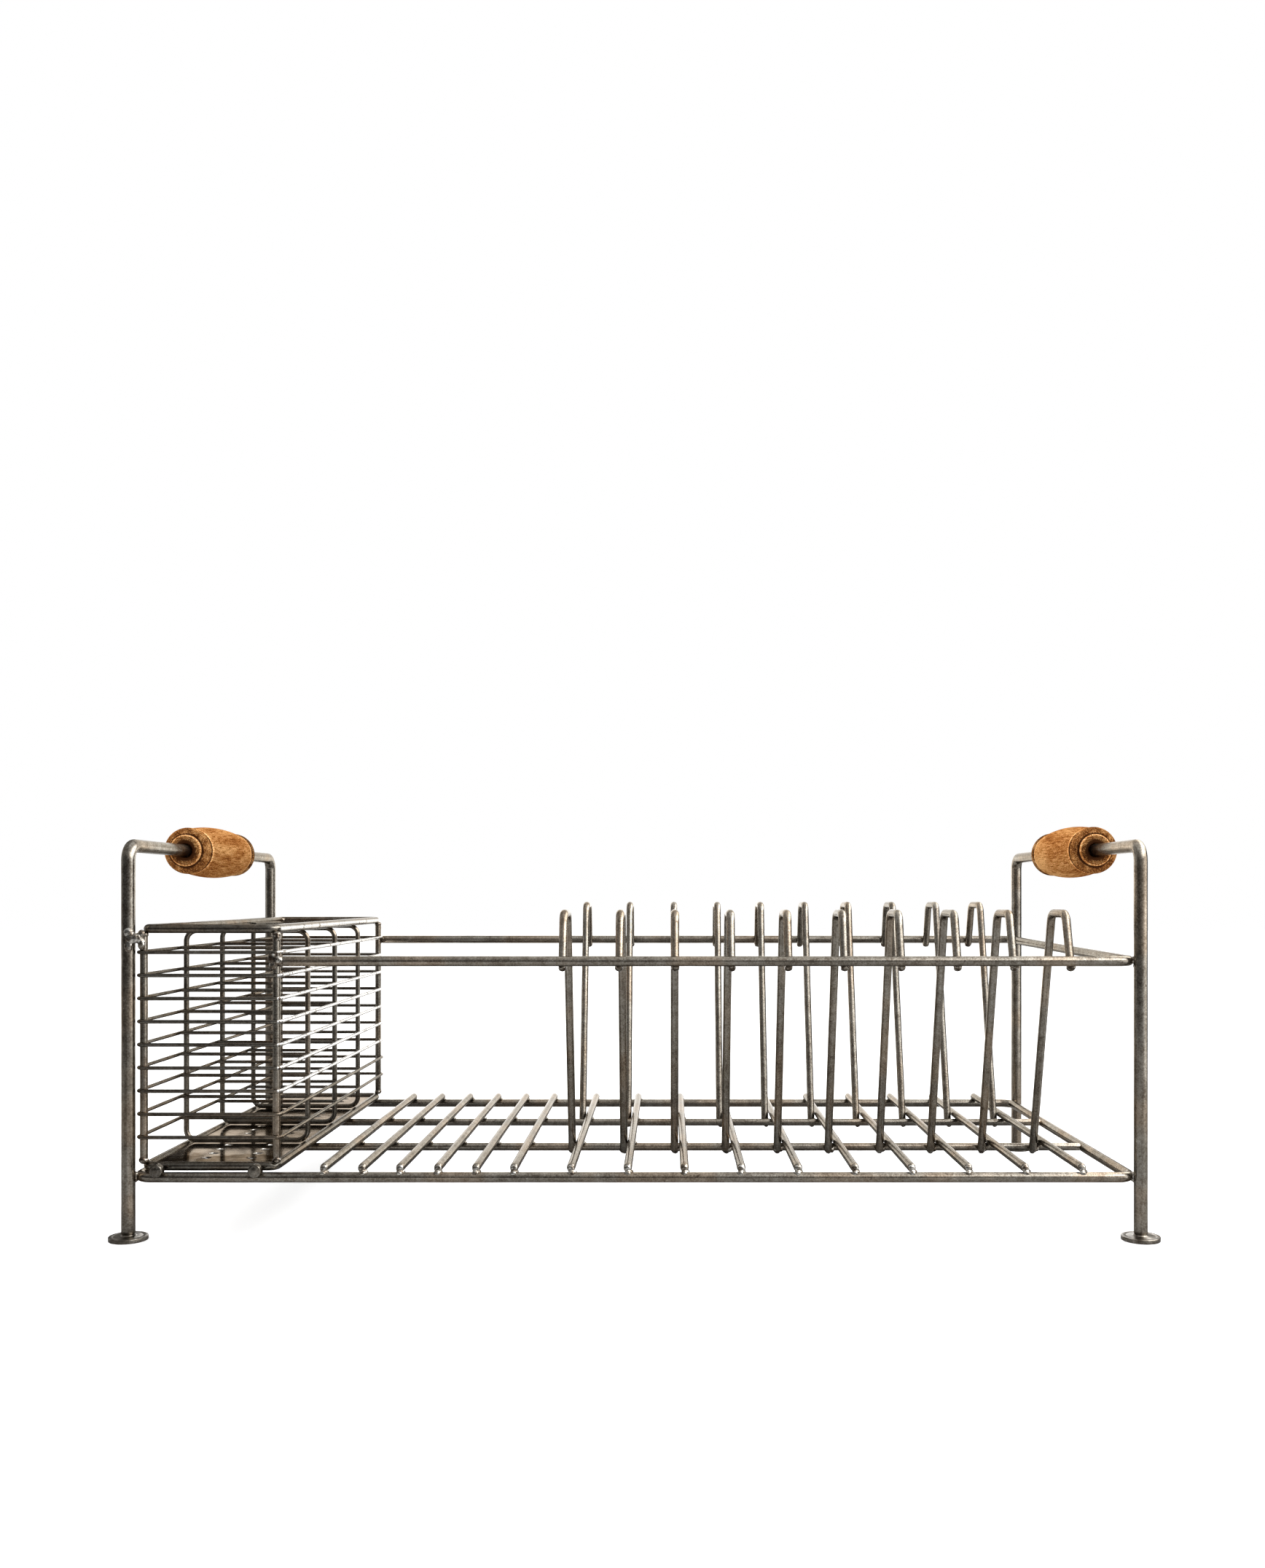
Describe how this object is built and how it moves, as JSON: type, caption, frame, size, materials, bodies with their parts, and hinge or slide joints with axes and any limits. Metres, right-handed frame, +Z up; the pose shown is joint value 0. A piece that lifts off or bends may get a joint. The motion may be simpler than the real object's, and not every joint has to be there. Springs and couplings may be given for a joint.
{
  "type": "dish drainer",
  "caption": "Steel rod dish drainer with plate dividers, close bars for cups, a wire cutlery basket and turned wooden grips.",
  "frame": {"origin": "on the ground, under the middle of the drainer", "axes": "+X along the drainer towards the plate end, away from the cutlery basket; the front is at -Y; +Z up"},
  "size_m": [0.563, 0.27, 0.2228],
  "materials": {
    "steel_rod": "bare, dark, satin",
    "steel_sheet": "bare, dark, matt",
    "grip_wood": "turned, oiled"
  },
  "bodies": {
    "frame": {"end_hoop_left": "steel_rod", "end_hoop_right": "steel_rod", "foot_front_left": "steel_rod", "foot_front_right": "steel_rod", "foot_back_left": "steel_rod", "foot_back_right": "steel_rod", "base_ring": "steel_rod", "base_bar_front": "steel_rod", "base_bar_back": "steel_rod", "cup_bar_1": "steel_rod", "cup_bar_2": "steel_rod", "cup_bar_3": "steel_rod", "cup_bar_4": "steel_rod", "cup_bar_5": "steel_rod", "cup_bar_6": "steel_rod", "plate_bar_1": "steel_rod", "plate_bar_2": "steel_rod", "plate_bar_3": "steel_rod", "plate_bar_4": "steel_rod", "plate_bar_5": "steel_rod", "plate_bar_6": "steel_rod", "plate_bar_7": "steel_rod", "plate_bar_8": "steel_rod", "plate_bar_9": "steel_rod", "plate_bar_10": "steel_rod", "top_rail": "steel_rod", "front_divider_1": "steel_rod", "front_divider_2": "steel_rod", "front_divider_3": "steel_rod", "front_divider_4": "steel_rod", "front_divider_5": "steel_rod", "front_divider_6": "steel_rod", "front_divider_7": "steel_rod", "front_divider_8": "steel_rod", "front_divider_9": "steel_rod", "front_divider_10": "steel_rod", "back_divider_1": "steel_rod", "back_divider_2": "steel_rod", "back_divider_3": "steel_rod", "back_divider_4": "steel_rod", "back_divider_5": "steel_rod", "back_divider_6": "steel_rod", "back_divider_7": "steel_rod", "back_divider_8": "steel_rod", "back_divider_9": "steel_rod", "back_divider_10": "steel_rod", "basket_top_ring": "steel_rod", "basket_bottom_ring": "steel_rod", "basket_cage": "steel_rod", "basket_partition_1": "steel_rod", "basket_partition_2": "steel_rod", "basket_partition_3": "steel_rod", "basket_tie_left": "steel_rod", "basket_tie_right": "steel_rod", "basket_plate": "steel_sheet"},
    "grip_left": {"grip_left": "grip_wood"},
    "grip_right": {"grip_right": "grip_wood"}
  },
  "joints": [
    {"name": "grip_left_spin", "type": "hinge", "parent": "frame", "child": "grip_left", "pos_m": [-0.266, 0.003, 0.2073], "axis": [0, 1, 0], "continuous": true},
    {"name": "grip_right_spin", "type": "hinge", "parent": "frame", "child": "grip_right", "pos_m": [0.266, -0.006, 0.2073], "axis": [0, 1, 0], "continuous": true}
  ]
}
